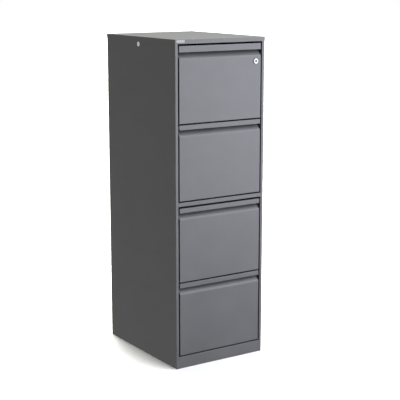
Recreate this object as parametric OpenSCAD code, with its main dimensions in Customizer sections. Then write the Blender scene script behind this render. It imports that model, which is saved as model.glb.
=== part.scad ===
// Four-drawer steel filing cabinet.
// Origin: centre of the footprint, on the floor. +Z up, the drawers slide out towards -Y.
// Depths inside the cabinet are measured back from the plane of the drawer fronts (fy),
// heights on a drawer are measured down from its top edge (dz).

/* [Overall size] */
// Width over the top cap
overall_w = 425; // [400:1:470]
// Depth from the lock's rim to the back of the cap
overall_d = 545; // [520:1:620]
// Height from the floor to the top
overall_h = 1320; // [1310:1:1340]

/* [Shell] */
// Thickness of every folded sheet
sheet = 1; // [0.8:0.1:1.2]
// Overhang of the cap in front of the drawers and beside the body
cap_over = 1.5; // [1:0.1:3]
// Height of the cap's skirt
skirt_h = 18; // [14:1:24]
// Width of the side panels' folded front and rear edges
stile_w = 12.5; // [11:0.5:16]
// Depth of the return behind each front edge
stile_return = 14; // [8:1:18]
// Height of the rail between the second and third drawer
rail_h = 16; // [12:1:20]
// Height of the plinth
plinth_h = 49; // [40:1:60]

/* [Drawers] */
// Height of a drawer front
front_h = 300; // [290:1:304]
// Gap above the first and third drawer
gap_over = 7.5; // [4:0.5:9]
// Gap below every drawer
gap_under = 5.5; // [3:0.5:7]
// Gap between a drawer front and the folded edge beside it
gap_side = 6; // [3:0.5:8]
// Height of the top drawer's pull strip
top_strip_h = 25; // [16:1:28]
// Height of the other drawers' pull strips
strip_h = 19; // [14:1:24]
// Depth of the finger recess behind the strip
recess_d = 28; // [24:1:30]
// How far above the strip's lower edge the recess starts to slope forward
recess_rise = 4; // [0:0.5:5]
// Outside radius of the bend under the recess
recess_bend = 12; // [8:1:16]
// How far a drawer slides out
travel = 430; // [300:5:440]

/* [Lock] */
// Distance of the lock from the middle of the cabinet
lock_x = 167.8; // [150:0.1:168]
// Distance of the lock below the top of the cabinet
lock_drop = 97; // [92:1:110]
// Radius of the lock's rim
lock_rim_r = 11; // [9:0.5:12]
// Distance from the lock's axis to the centre of the cam's tip
cam_throw = 25; // [22:0.5:25]

/* [Hidden] */
PER_DRAWER = ["front", "tray", "file_rails", "catch", "screws", "inner_rails", "middle_rails",
              "outer_rails", "outer_ball_cages", "inner_ball_cages"];

$fn = 48;
eps = 0.01;
fit = 0.05;

// Cabinet
lock_proud = 3;
face_y = -overall_d / 2 + lock_proud;
back_y = overall_d / 2;
body_x = overall_w / 2 - cap_over;
stile_x = body_x - stile_w;
under_cap = overall_h - sheet;
panel_back_y = back_y - sheet - 0.2;
flange = 12;
bend_r = 1.5;
base_z = 40;
tag_w = 38;
tag_h = 10;

// Drawers
pitch = front_h + gap_under;
front_x = stile_x - gap_side;
tray_x = 185.2;
tray_d = 500;
tray_bottom = front_h - 10;
tray_side_top = 64;
tray_front_top = 6;
rail_top = 42;
rail_x = 165;
back_wall_d = recess_d + sheet;
front_lip_h = 35;
front_return = 18;

// Slides: half heights of the three nested channels, and where their plates stand across
slide_drop = 170;
slide_start = 34;
slide_len = travel + 20;
plate = 1.2;
outer_z = 22.5;
middle_z = 16.5;
inner_z = 10.5;
outer_x = [188, 198];
middle_x = [187.4, 194];
inner_x = [tray_x, 191.5];
ball_r = 2.2;
cage_t = 0.6;
cage_start = 150;
cage_len = 200;
ball_step = 60;
post_w = 26;

// Lock
plug_r = 4.5;
housing_r = 9.5;
housing_end = 22;
cam_d = 24;
cam_t = 2.5;
tip_r = 3.5;
swing = 45;
bar_d = 24;
bar_t = 3;
bar_x = [200, 209.6];
finger_gap = 2.2;
finger_h = 6;
finger_in = 186.5;
hook_drop = 125;
hook_h = 15;
catch_drop = 96;
catch_h = 22;
catch_d = back_wall_d - bend_r;

// Fasteners
screw_r = 2;
screw_hole_r = 2.1;
head_r = 4;
head_h = 2.2;

function fy(depth) = face_y + depth;
function strip(n) = n == 1 ? top_strip_h : strip_h;
function drawer_top(n) =
    overall_h - skirt_h - gap_over - (n - 1) * pitch
    - (n > 2 ? rail_h + gap_over : 0);
function dz(n, drop) = drawer_top(n) - drop;
function lock_z() = overall_h - lock_drop;

// Points of an arc from angle a to angle b
function arc(centre, r, a, b, steps = 6) =
    [for (i = [0 : steps]) let (t = a + (b - a) * i / steps) centre + r * [cos(t), sin(t)]];

// Outline of a sheet of thickness t that follows a path
function unit(v) = v / norm(v);
function turned(v) = [-v[1], v[0]];
function path_side(p, i) =
    let (before = unit(i == 0 ? p[1] - p[0] : p[i] - p[i - 1]),
         after = unit(i == len(p) - 1 ? p[i] - p[i - 1] : p[i + 1] - p[i]))
    turned(before + after) / (1 + before * after);
function sheet_outline(p, t) = concat(
    [for (i = [0 : len(p) - 1]) p[i] + path_side(p, i) * t / 2],
    [for (i = [len(p) - 1 : -1 : 0]) p[i] - path_side(p, i) * t / 2]);

module folded(path, t = sheet) {
    polygon(sheet_outline(path, t));
}

// Extrudes a [depth, height] outline from x = low to x = high
module across(low, high) {
    translate([low, 0, 0]) rotate([90, 0, 90]) linear_extrude(high - low) children();
}

// Extrudes an [x, height] outline from y = low to y = high
module along(low, high) {
    translate([0, high, 0]) rotate([90, 0, 0]) linear_extrude(high - low) children();
}

// Box between two corners
module block(low, high) {
    translate(low) cube(high - low);
}

module both_sides() {
    children();
    mirror([1, 0, 0]) children();
}

// Cylinder along Y between two depths
module spindle(x, z, from_depth, to_depth, r) {
    translate([x, fy(to_depth), z]) rotate([90, 0, 0]) cylinder(h = to_depth - from_depth, r = r);
}

// Shell ---------------------------------------------------------------------------------------

module top_cap() {
    half = overall_w / 2;
    front = fy(-cap_over);
    color("#8d8e92") difference() {
        block([-half, front, overall_h - skirt_h], [half, back_y, overall_h]);
        block([-half + sheet, front + sheet, overall_h - skirt_h - eps],
              [half - sheet, back_y - sheet, under_cap]);
    }
}

// Plan of a side panel: front return, folded front edge, side wall, rear fold
module side_plan() {
    half = sheet / 2;
    out_x = body_x - half;
    front = fy(half);
    folded(concat(
        [[stile_x + half, fy(stile_return)]],
        arc([stile_x + bend_r, front + bend_r - half], bend_r - half, 180, 270),
        arc([out_x - bend_r + half, front + bend_r - half], bend_r - half, 270, 360),
        [[out_x, panel_back_y - sheet - half], [out_x - flange, panel_back_y - sheet - half]]));
}

module side_panel() {
    color("#55565a") difference() {
        union() {
            linear_extrude(under_cap) side_plan();
            for (z = [0, under_cap - sheet])
                block([body_x - flange, fy(bend_r), z], [body_x - sheet / 2, panel_back_y - sheet, z + sheet]);
        }
        translate([body_x - 3, fy(279), overall_h - 30.6]) rotate([0, 90, 0]) cylinder(h = 6, r = 5.1);
        back_screw_places() rotate([-90, 0, 0]) cylinder(h = 6, r = screw_hole_r, center = true);
    }
}

module left_side_panel() {
    mirror([1, 0, 0]) side_panel();
}

module right_side_panel() {
    side_panel();
}

// One side's row of screws that hold the back panel
module back_screw_places() {
    for (k = [0 : 4])
        translate([body_x - 7, panel_back_y - sheet, 40 + k * (overall_h - 80) / 4]) children();
}

module back_panel() {
    color("#606165") difference() {
        block([-body_x + 0.3, panel_back_y - sheet, sheet], [body_x - 0.3, panel_back_y, under_cap]);
        both_sides() back_screw_places()
            rotate([-90, 0, 0]) cylinder(h = 6, r = screw_hole_r, center = true);
    }
}

module bottom_panel() {
    half = sheet / 2;
    low = base_z - 12;
    color("#606165") across(-stile_x + 0.5, stile_x - 0.5)
        folded([[fy(20), low], [fy(20), base_z], [panel_back_y - sheet - half, base_z],
                [panel_back_y - sheet - half, low]]);
}

module plinth() {
    half = sheet / 2;
    color("#707176") across(-stile_x, stile_x)
        folded(concat(
            [[fy(19), half]],
            arc([fy(bend_r), bend_r], bend_r - half, 270, 180),
            arc([fy(bend_r), plinth_h - bend_r], bend_r - half, 180, 90),
            [[fy(19), plinth_h - half]]));
}

module mid_rail() {
    half = sheet / 2;
    high = drawer_top(2) - front_h - gap_under;
    low = high - rail_h;
    color("#88898d") across(-stile_x, stile_x)
        folded(concat(
            [[fy(18), low + half]],
            arc([fy(bend_r), low + bend_r], bend_r - half, 270, 180),
            arc([fy(bend_r), high - bend_r], bend_r - half, 180, 90),
            [[fy(18), high - half]]));
}

// A hat-shaped post that holds the slides, on each side
module posts(depth) {
    both_sides() translate([0, fy(depth), sheet]) linear_extrude(under_cap - 2 * sheet)
        difference() {
            translate([stile_x - 0.5, 0]) square([stile_w - 0.5, post_w]);
            translate([stile_x - 0.5 + plate, plate]) square([stile_w, post_w - 2 * plate]);
        }
}

module front_posts() {
    color("#a9abae") posts(slide_start);
}

module rear_posts() {
    color("#a9abae") posts(slide_start + slide_len - post_w);
}

// Domed caps in the side panels' plug holes
module side_plugs() {
    color("#f1f1ee") both_sides()
        translate([body_x, fy(279), overall_h - 30.6]) rotate([0, 90, 0])
            rotate_extrude() polygon(concat(
                [[0, -4], [5, -4], [5, 0], [9.5, 0], [9.5, 0.3]],
                [for (a = [20 : 10 : 90]) [9.5 * cos(a), 0.3 + 1.1 * sin(a)]]));
}

module nameplate() {
    color("#c9cbcd") block([-overall_w / 2 + 6, fy(-cap_over) - 0.7, overall_h - 3 - tag_h],
                           [-overall_w / 2 + 6 + tag_w, fy(-cap_over), overall_h - 3]);
}

module carcass_screws() {
    color("#9b9da0") both_sides() back_screw_places() rotate([-90, 0, 0]) {
        translate([0, 0, -1.5]) cylinder(h = 1.5 + sheet, r = screw_r);
        translate([0, 0, sheet]) cylinder(h = 1, r = head_r);
    }
}

// Slides ----------------------------------------------------------------------------------------

// Channel of a slide, open towards the drawer (side -1) or away from it (side +1)
module channel(n, x, half_z, side, shift = 0) {
    z = dz(n, slide_drop);
    low = side < 0 ? x[0] - eps : x[0] + plate;
    high = side < 0 ? x[1] - plate : x[1] + eps;
    both_sides() difference() {
        block([x[0], fy(slide_start), z - half_z], [x[1], fy(slide_start + slide_len), z + half_z]);
        block([low, fy(slide_start) - 1, z - half_z + plate],
              [high, fy(slide_start + slide_len) + 1, z + half_z - plate]);
    }
}

module outer_rails(n) {
    color("#b4b6b9") channel(n, outer_x, outer_z, -1);
}

module middle_rails(n) {
    color("#bdbfc2") channel(n, middle_x, middle_z, -1);
}

module inner_rails(n) {
    color("#c6c8ca") channel(n, inner_x, inner_z, 1);
}

// Balls held in a thin strip whose arms lie in the gaps above and below a channel
module ball_cages(n, web_x, arm_x, ball_x, gap_z) {
    z = dz(n, slide_drop);
    count = floor((cage_len - 20) / ball_step);
    first = cage_start + (cage_len - count * ball_step) / 2;
    both_sides() {
        block([web_x, fy(cage_start), z - gap_z], [web_x + cage_t, fy(cage_start + cage_len), z + gap_z]);
        for (side = [-1, 1]) {
            difference() {
                block([arm_x, fy(cage_start), z + side * gap_z - cage_t / 2],
                      [web_x + cage_t, fy(cage_start + cage_len), z + side * gap_z + cage_t / 2]);
                for (k = [0 : count])
                    translate([ball_x, fy(first + k * ball_step), z + side * gap_z])
                        cylinder(h = 4, r = ball_r + 0.15, center = true);
            }
            for (k = [0 : count])
                translate([ball_x, fy(first + k * ball_step), z + side * gap_z]) sphere(r = ball_r);
        }
    }
}

module outer_ball_cages(n) {
    color("#d2d3d4") ball_cages(n, 195.1, 188.6, 191.2, (outer_z - plate + middle_z) / 2);
}

module inner_ball_cages(n) {
    color("#d2d3d4") ball_cages(n, 191.85, 187.0, 189.4, (middle_z - plate + inner_z) / 2);
}

// Drawers -----------------------------------------------------------------------------------------

// Section of a drawer front: hemmed pull strip, top edge, recess, vertical face, bottom fold
module front_section(n) {
    half = sheet / 2;
    r = recess_bend - half;
    s = strip(n);
    wall_end = s - recess_rise;
    bend_drop = wall_end + recess_d + r * (sqrt(2) - 1);
    face = fy(half);
    wall = fy(recess_d + half);
    folded(concat(
        [[face + 2, dz(n, s - 8)]],
        arc([face + 1, dz(n, s - 1.5)], 1, 0, -180, 8),
        arc([face + 1, dz(n, 1.5)], 1, 180, 90, 4),
        arc([wall - 1, dz(n, 1.5)], 1, 90, 0, 4),
        [[wall, dz(n, wall_end)]],
        arc([face + r, dz(n, bend_drop)], r, 135, 180, 8),
        arc([face + 1, dz(n, front_h - 1.5)], 1, 180, 270, 4),
        arc([wall - 1, dz(n, front_h - 1.5)], 1, 270, 360, 4),
        [[wall, dz(n, front_h - front_lip_h)]]));
}

// Screws that hold the tray to the drawer front, [x, drop]
function tray_screws() =
    [for (x = [-120, 120]) for (drop = [10.5, front_h - 22]) [x, drop]];

module drawer_screw_places(n) {
    for (at = tray_screws())
        translate([at[0], fy(back_wall_d), dz(n, at[1])]) children();
}

module front(n) {
    return_top = strip(n) + recess_d + recess_bend - recess_rise;
    color("#8e8f95") difference() {
        union() {
            across(-front_x, front_x) front_section(n);
            both_sides() block([front_x - sheet, fy(sheet / 2), dz(n, front_h - sheet / 2)],
                               [front_x, fy(front_return), dz(n, return_top)]);
        }
        drawer_screw_places(n) rotate([-90, 0, 0]) cylinder(h = 6, r = screw_hole_r, center = true);
        if (n == 1)
            spindle(lock_x, lock_z(), -1, 3, housing_r + 0.1);
    }
}

module tray(n) {
    inside_x = tray_x - sheet;
    front = fy(back_wall_d);
    rear = fy(tray_d);
    floor_z = dz(n, tray_bottom);
    color("#77787c") difference() {
        union() {
            block([-tray_x, front, floor_z], [tray_x, rear, dz(n, tray_side_top)]);
            block([-tray_x, front, floor_z], [tray_x, front + sheet, dz(n, tray_front_top)]);
        }
        block([-inside_x, front + sheet, floor_z + sheet], [inside_x, rear - sheet, dz(n, 0)]);
        drawer_screw_places(n) rotate([-90, 0, 0]) cylinder(h = 6, r = screw_hole_r, center = true);
        catch_screw_places(n) rotate([-90, 0, 0]) cylinder(h = 6, r = screw_hole_r, center = true);
    }
}

// Strips along the tray's sides that hanging files rest on
module file_rails(n) {
    foot = tray_x - sheet * 1.5;
    color("#b4b6b9") both_sides() along(fy(back_wall_d + sheet), fy(tray_d - sheet))
        folded([[foot, dz(n, tray_side_top + 16)], [foot, dz(n, tray_side_top - 0.5)],
                [rail_x + 0.5, dz(n, tray_side_top - 0.5)], [rail_x + 0.5, dz(n, rail_top)]]);
}

module catch_screw_places(n) {
    for (drop = [6, catch_h - 6])
        translate([175, fy(back_wall_d), dz(n, catch_drop + drop)]) children();
}

// Plate beside the tray that the lock bar's hook rises in front of
module catch(n) {
    color("#b4b6b9") difference() {
        block([168, fy(catch_d), dz(n, catch_drop + catch_h)], [196, fy(back_wall_d), dz(n, catch_drop)]);
        catch_screw_places(n) rotate([-90, 0, 0]) cylinder(h = 6, r = screw_hole_r, center = true);
    }
}

module pan_screw(length) {
    translate([0, 0, -length]) cylinder(h = length, r = screw_r);
    cylinder(h = head_h, r = head_r);
}

module screws(n) {
    color("#9b9da0") {
        drawer_screw_places(n) translate([0, sheet, 0]) rotate([-90, 0, 0]) pan_screw(2.6);
        catch_screw_places(n) translate([0, sheet, 0]) rotate([-90, 0, 0]) pan_screw(sheet + bend_r);
    }
}

// Lock ----------------------------------------------------------------------------------------------

module lock_housing() {
    color("#d9dadc") translate([lock_x, fy(0), lock_z()]) rotate([-90, 0, 0])
        rotate_extrude($fn = 64) polygon(concat(
            [[plug_r + fit, housing_end], [plug_r + fit, 1 - lock_proud]],
            arc([plug_r + fit + 1, 1 - lock_proud], 1, 180, 270, 4),
            arc([lock_rim_r - 1.8, 1.8 - lock_proud], 1.8, 270, 360, 6),
            [[lock_rim_r, 0], [housing_r, 0], [housing_r, housing_end]]));
}

module lock_nut() {
    color("#b4b6b9") difference() {
        spindle(lock_x, lock_z(), sheet, 5, 14, $fn = 6);
        spindle(lock_x, lock_z(), 0, 6, housing_r);
    }
}

module lock_plug() {
    slot_w = 1.4;
    slot_h = 6;
    color("#a4a6a9") difference() {
        spindle(lock_x, lock_z(), 0.6 - lock_proud, cam_d, plug_r);
        block([lock_x - slot_w / 2, fy(-lock_proud), lock_z() - slot_h / 2],
              [lock_x + slot_w / 2, fy(14), lock_z() + slot_h / 2]);
        spindle(lock_x, lock_z(), 16, cam_d + 1, 1.6);
    }
}

// Cam behind the lock, hanging down towards the bar while unlocked
module lock_cam() {
    r = 8;
    color("#b4b6b9") translate([lock_x, fy(cam_d + cam_t), lock_z()]) rotate([90, 0, 0]) rotate([0, 0, -swing])
        difference() {
            union() {
                cylinder(h = cam_t, r = r);
                translate([0, -tip_r, 0]) cube([cam_throw, 2 * tip_r, cam_t]);
                translate([cam_throw, 0, 0]) cylinder(h = cam_t, r = tip_r);
            }
            translate([0, 0, -1]) cylinder(h = cam_t + 2, r = 1.7);
        }
}

module cam_screw() {
    color("#9b9da0") {
        spindle(lock_x, lock_z(), 17, cam_d + cam_t, 1.6);
        spindle(lock_x, lock_z(), cam_d + cam_t, cam_d + cam_t + 2, 3.4);
    }
}

function tip_z() = lock_z() - cam_throw * sin(swing);

// Upright bar beside the drawers
module lock_bar() {
    above_tip = 36;
    below_hook = 14;
    color("#b4b6b9")
        block([bar_x[0], fy(bar_d), dz(4, hook_drop + hook_h + below_hook)],
              [bar_x[1], fy(bar_d + bar_t), tip_z() + above_tip]);
}

// Plates welded to the bar: two fingers around the cam's tip and a hook for each drawer
module lock_bar_hooks() {
    grip = tip_r + finger_gap;
    tops = concat(
        [for (z = [tip_z() + grip + finger_h, tip_z() - grip]) [z, finger_h]],
        [for (n = [1 : 4]) [dz(n, hook_drop), hook_h]]);
    color("#b4b6b9") for (top = tops)
        block([finger_in, fy(bar_d), top[0] - top[1]], [bar_x[0], fy(bar_d + bar_t), top[0]]);
}

// Clips on the side panel that the lock bar slides in
module lock_bar_guides() {
    gap = 0.35;
    height = 12;
    color("#b4b6b9") for (drop = [200, front_h + 60, 2 * pitch + 70, 3 * pitch + 70])
        let (z = dz(1, drop))
        difference() {
            block([bar_x[0] - gap - sheet, fy(bar_d - gap - sheet), z],
                  [body_x - sheet, fy(bar_d + bar_t + gap + sheet), z + height]);
            block([bar_x[0] - gap, fy(bar_d - gap), z - 1],
                  [body_x, fy(bar_d + bar_t + gap), z + height + 1]);
        }
}

top_cap();
left_side_panel();
right_side_panel();
back_panel();
bottom_panel();
plinth();
mid_rail();
front_posts();
rear_posts();
side_plugs();
nameplate();
lock_bar_guides();
carcass_screws();
lock_housing();
lock_nut();
lock_plug();
lock_cam();
cam_screw();
lock_bar();
lock_bar_hooks();
for (n = [1 : 4]) {
    front(n);
    tray(n);
    file_rails(n);
    catch(n);
    screws(n);
    inner_rails(n);
    middle_rails(n);
    outer_rails(n);
    outer_ball_cages(n);
    inner_ball_cages(n);
}
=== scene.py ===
"""Four-drawer steel filing cabinet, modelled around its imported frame. Metres, +Z up."""

import logging
import math
from collections.abc import Iterable, Mapping, Sequence
from dataclasses import dataclass, field
from enum import Enum

import bmesh
import bpy
from mathutils import Matrix, Vector


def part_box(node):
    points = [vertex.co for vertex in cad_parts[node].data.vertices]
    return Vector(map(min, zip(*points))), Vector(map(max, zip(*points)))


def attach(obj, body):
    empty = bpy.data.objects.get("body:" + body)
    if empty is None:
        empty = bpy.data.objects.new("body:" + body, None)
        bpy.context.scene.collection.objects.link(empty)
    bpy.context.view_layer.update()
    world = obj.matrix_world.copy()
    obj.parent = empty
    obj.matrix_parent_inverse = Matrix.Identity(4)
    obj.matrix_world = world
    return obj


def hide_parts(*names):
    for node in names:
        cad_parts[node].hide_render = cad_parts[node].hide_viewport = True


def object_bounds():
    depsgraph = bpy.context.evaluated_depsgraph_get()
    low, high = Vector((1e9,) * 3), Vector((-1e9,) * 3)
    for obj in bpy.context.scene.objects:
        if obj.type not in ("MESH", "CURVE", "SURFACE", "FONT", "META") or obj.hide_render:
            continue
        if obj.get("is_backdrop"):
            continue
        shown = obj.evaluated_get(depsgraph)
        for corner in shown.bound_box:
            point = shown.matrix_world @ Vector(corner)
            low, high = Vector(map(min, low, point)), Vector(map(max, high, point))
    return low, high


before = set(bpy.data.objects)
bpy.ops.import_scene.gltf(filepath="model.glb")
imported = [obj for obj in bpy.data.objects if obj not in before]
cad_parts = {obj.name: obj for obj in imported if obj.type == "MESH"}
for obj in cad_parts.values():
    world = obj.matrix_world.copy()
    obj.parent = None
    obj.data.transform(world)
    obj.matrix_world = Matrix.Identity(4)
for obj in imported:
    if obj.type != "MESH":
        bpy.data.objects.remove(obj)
CAD_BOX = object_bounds()

LOG = logging.getLogger("filing_cabinet")

Point = tuple[float, float]
Triple = tuple[float, float, float]

# Thickness of the body's sheet, and the radius of its bends: outside, and along the sheet's middle
SHEET = 0.001
BEND = 0.0015
FOLD = BEND - SHEET / 2
DRAWERS = (1, 2, 3, 4)
# Heights of the drawers' pull strips: the top drawer's, and the others'
TOP_STRIP = 0.025
STRIP = 0.019
SIDES = (-1, 1)
SHARP_ANGLE = math.radians(32)
# Face layer for how much rubbed wear and painted highlight a face gets, and the longest step along
# a sheet that counts as a bend
EDGE_LAYER = "worn_highlit_edge"
TIGHT_BEND = 0.0006
TOWARDS_FRONT = (0, -1, 0)


# ---- node trees


@dataclass(frozen=True)
class Link:
    """An output socket that takes part in arithmetic."""

    net: "Net"
    socket: bpy.types.NodeSocket

    def __add__(self, other: "Link | float") -> "Link":
        """Sum of two values."""
        return self.net.maths("ADD", self, other)

    def __sub__(self, other: "Link | float") -> "Link":
        """Difference of two values."""
        return self.net.maths("SUBTRACT", self, other)

    def __mul__(self, other: "Link | float") -> "Link":
        """Product of two values."""
        return self.net.maths("MULTIPLY", self, other)

    __radd__ = __add__
    __rmul__ = __mul__


class Net:
    """A shader or geometry tree while it is being wired."""

    def __init__(self, tree: bpy.types.NodeTree) -> None:
        """Keeps the tree that nodes are added to."""
        self.tree = tree

    def node(
        self,
        kind: str,
        settings: Mapping[str, object] | None = None,
        sockets: Mapping[str | int, object] | None = None,
    ) -> bpy.types.Node:
        """Adds one node.

        Args:
            kind: Blender's type name of the node.
            settings: properties of the node, set before its sockets.
            sockets: a value or a Link for each input, by name or position.

        Returns:
            The new node.
        """
        made = self.tree.nodes.new(kind)
        for name, value in (settings or {}).items():
            setattr(made, name, value)
        self.feed(made, sockets or {})
        return made

    def feed(self, node: bpy.types.Node, sockets: Mapping[str | int, object]) -> None:
        """Sets a node's inputs.

        Args:
            node: the node.
            sockets: a value or a Link for each input, by name or position.
        """
        for name, value in sockets.items():
            if isinstance(value, Link):
                self.tree.links.new(value.socket, node.inputs[name])
            else:
                node.inputs[name].default_value = value

    def out(
        self,
        kind: str,
        sockets: Mapping[str | int, object] | None = None,
        output: str | int = 0,
        settings: Mapping[str, object] | None = None,
    ) -> Link:
        """Adds one node and returns one of its outputs as a Link."""
        return Link(self, self.node(kind, settings, sockets).outputs[output])

    def maths(self, operation: str, *values: Link | float) -> Link:
        """Adds a Math node with these operands."""
        return self.out("ShaderNodeMath", dict(enumerate(values)), 0, {"operation": operation})

    def step(self, value: Link, low: float, high: float) -> Link:
        """Rises smoothly from 0 at low to 1 at high."""
        ends = {"Value": value, "From Min": low, "From Max": high}
        return self.out("ShaderNodeMapRange", ends, 0, {"interpolation_type": "SMOOTHSTEP"})

    def colours(self, factor: Link, low: Triple | Link, high: Triple) -> Link:
        """Mixes two colours.

        Args:
            factor: 0 for the first colour, 1 for the second.
            low: first colour.
            high: second colour.

        Returns:
            The mixed colour.
        """
        first = low if isinstance(low, Link) else (*low, 1.0)
        ends = {0: factor, 6: first, 7: (*high, 1.0)}
        return self.out("ShaderNodeMix", ends, 2, {"data_type": "RGBA"})

    def noise(self, where: Link, scale: float, detail: float = 2.0) -> Link:
        """Noise around 0.5, with features about 1/scale metres wide."""
        return self.out("ShaderNodeTexNoise", {"Vector": where, "Scale": scale, "Detail": detail})

    def stretched(self, where: Link, scale: Triple) -> Link:
        """The coordinates multiplied along each axis."""
        return self.out("ShaderNodeMapping", {"Vector": where, "Scale": scale})

    def xyz(self, **parts: Link | float) -> Link:
        """A vector from its named parts, with 0 for the others."""
        return self.out("ShaderNodeCombineXYZ", parts)

    def copies(self, points: Link, shape: Link) -> Link:
        """The shape on every point, as instances."""
        return self.out("GeometryNodeInstanceOnPoints", {"Points": points, "Instance": shape})

    def moved(self, shape: Link, **change: Link) -> Link:
        """The shape after a Translation, Rotation or Scale."""
        return self.out("GeometryNodeTransform", {"Geometry": shape, **change})

    def sphere(self, segments: int, rings: int, radius: Link | float = 1.0) -> Link:
        """A sphere's mesh."""
        sizes = {"Segments": segments, "Rings": rings, "Radius": radius}
        return self.out("GeometryNodeMeshUVSphere", sizes)


# ---- finishes


@dataclass(frozen=True)
class Finish:
    """A material that is wired once and then shared."""

    name: str

    def wire(self, net: Net, where: Link) -> dict[str, Link | float]:
        """Wires the finish's own pattern.

        Args:
            net: the material's tree.
            where: coordinates in metres.

        Returns:
            What goes into the shader's inputs, by their names.
        """
        raise NotImplementedError

    def material(self) -> bpy.types.Material:
        """Makes the finish's material on first use.

        Returns:
            The material.
        """
        ready = bpy.data.materials.get(self.name)
        if ready:
            return ready
        made = bpy.data.materials.new(self.name)
        made.use_nodes = True
        net = Net(made.node_tree)
        where = net.out("ShaderNodeTexCoord", output="Object")
        net.feed(made.node_tree.nodes["Principled BSDF"], self.wire(net, where))
        return made

    @staticmethod
    def bump(net: Net, height: Link, distance: float, strength: float) -> Link:
        """A normal raised by height, distance metres deep."""
        sizes = {"Height": height, "Distance": distance, "Strength": strength}
        return net.out("ShaderNodeBump", sizes)


@dataclass(frozen=True)
class PowderCoat(Finish):
    """Baked fine-texture paint, brighter where sheets are bent: partly rubbed wear, partly a
    painted highlight.
    """

    dark: Triple = (0.056, 0.056, 0.058)
    light: Triple = (0.072, 0.072, 0.0745)
    # Colour of bends and edges: rubbed wear plus a painted highlight
    rub_and_highlight: Triple = (0.105, 0.105, 0.107)
    roughness: float = 0.46
    specular: float = 0.45
    grain: float = 1500.0
    peel: float = 260.0
    cloud: float = 7.0
    smear: Triple = (5.0, 5.0, 26.0)
    rub_and_highlight_scale: float = 46.0
    rub_and_highlight_strength: float = 0.75
    relief_depth: float = 0.00022
    relief_strength: float = 0.42

    def wire(self, net: Net, where: Link) -> dict[str, Link | float]:
        """Mottled colour, grainy gloss, orange peel, and bends brightened partly by rubbed wear and
        partly by a painted highlight.

        Args:
            net: the material's tree.
            where: coordinates in metres.

        Returns:
            What goes into the shader's inputs.
        """
        grain = net.noise(where, self.grain, 1.0)
        peel = net.noise(where, self.peel, 2.0)
        cloud = net.noise(where, self.cloud, 3.0)
        smear = net.noise(net.stretched(where, self.smear), 1.0, 3.0)
        tone = grain * 0.45 + cloud * 0.35 + peel * 0.2
        paint = net.colours(net.step(tone, 0.34, 0.66), self.dark, self.light)
        # Painted highlight: faces on the edge layer (bends, cut edges, rounded edges) are mixed
        # towards a brighter colour, partly as rubbed wear, partly as a painted highlight
        layer = {"attribute_name": EDGE_LAYER}
        edge = net.out("ShaderNodeAttribute", output="Fac", settings=layer)
        wear_and_highlight = edge * net.step(net.noise(where, self.rub_and_highlight_scale, 4.0), 0.46, 0.7)
        gloss = self.roughness + 0.08 * (cloud - 0.5) + 0.1 * (grain - 0.5) - wear_and_highlight * 0.1
        relief = grain * 0.45 + peel * 0.55
        return {
            "Base Color": net.colours(wear_and_highlight * self.rub_and_highlight_strength, paint, self.rub_and_highlight),
            "Roughness": gloss + net.step(smear, 0.52, 0.72) * 0.03,
            "Normal": self.bump(net, relief, self.relief_depth, self.relief_strength),
            "Specular IOR Level": self.specular,
        }


@dataclass(frozen=True)
class Plate(Finish):
    """Plated, bare or satin metal with drawing marks, stretched by along, over cloudy blotches."""

    dark: Triple = (0.42, 0.43, 0.44)
    light: Triple = (0.62, 0.63, 0.64)
    roughness: float = 0.34
    along: Triple = (240.0, 7.0, 240.0)
    blotch: float = 22.0
    depth: float = 0.00003
    metallic: float = 1.0
    fine: float = 900.0

    def wire(self, net: Net, where: Link) -> dict[str, Link | float]:
        """Drawn streaks over cloudy plating.

        Args:
            net: the material's tree.
            where: coordinates in metres.

        Returns:
            What goes into the shader's inputs.
        """
        drawn = net.noise(net.stretched(where, self.along), 1.0, 2.0)
        cloud = net.noise(where, self.blotch, 3.0)
        fine = net.noise(where, self.fine, 1.0)
        tone = drawn * 0.45 + cloud * 0.4 + fine * 0.15
        return {
            "Base Color": net.colours(net.step(tone, 0.35, 0.65), self.dark, self.light),
            "Roughness": self.roughness + 0.22 * (cloud - 0.5) + 0.16 * (drawn - 0.5),
            "Normal": self.bump(net, drawn * 0.7 + fine * 0.3, self.depth, 0.5),
            "Metallic": self.metallic,
        }


@dataclass(frozen=True)
class Moulded(Finish):
    """Injection-moulded plastic with faint flow marks."""

    dark: Triple = (0.76, 0.76, 0.73)
    light: Triple = (0.86, 0.86, 0.83)
    roughness: float = 0.3
    flow: float = 140.0
    skin: float = 2600.0
    skin_depth: float = 0.00005

    def wire(self, net: Net, where: Link) -> dict[str, Link | float]:
        """Slightly uneven colour and a finely eroded skin.

        Args:
            net: the material's tree.
            where: coordinates in metres.

        Returns:
            What goes into the shader's inputs.
        """
        flow = net.noise(where, self.flow, 3.0)
        skin = net.noise(where, self.skin, 1.0)
        return {
            "Base Color": net.colours(flow, self.dark, self.light),
            "Roughness": self.roughness + 0.16 * (flow - 0.5) + 0.08 * (skin - 0.5),
            "Normal": self.bump(net, skin, self.skin_depth, 0.3),
        }


@dataclass(frozen=True)
class FloorPaint(Finish):
    """Matt pale studio floor."""

    dark: Triple = (0.84, 0.84, 0.84)
    light: Triple = (0.88, 0.88, 0.88)
    roughness: float = 0.9
    specular: float = 0.1
    cloud: float = 1.5

    def wire(self, net: Net, where: Link) -> dict[str, Link | float]:
        """Barely uneven matt colour."""
        return {
            "Base Color": net.colours(net.noise(where, self.cloud), self.dark, self.light),
            "Roughness": self.roughness,
            "Specular IOR Level": self.specular,
        }


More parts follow.
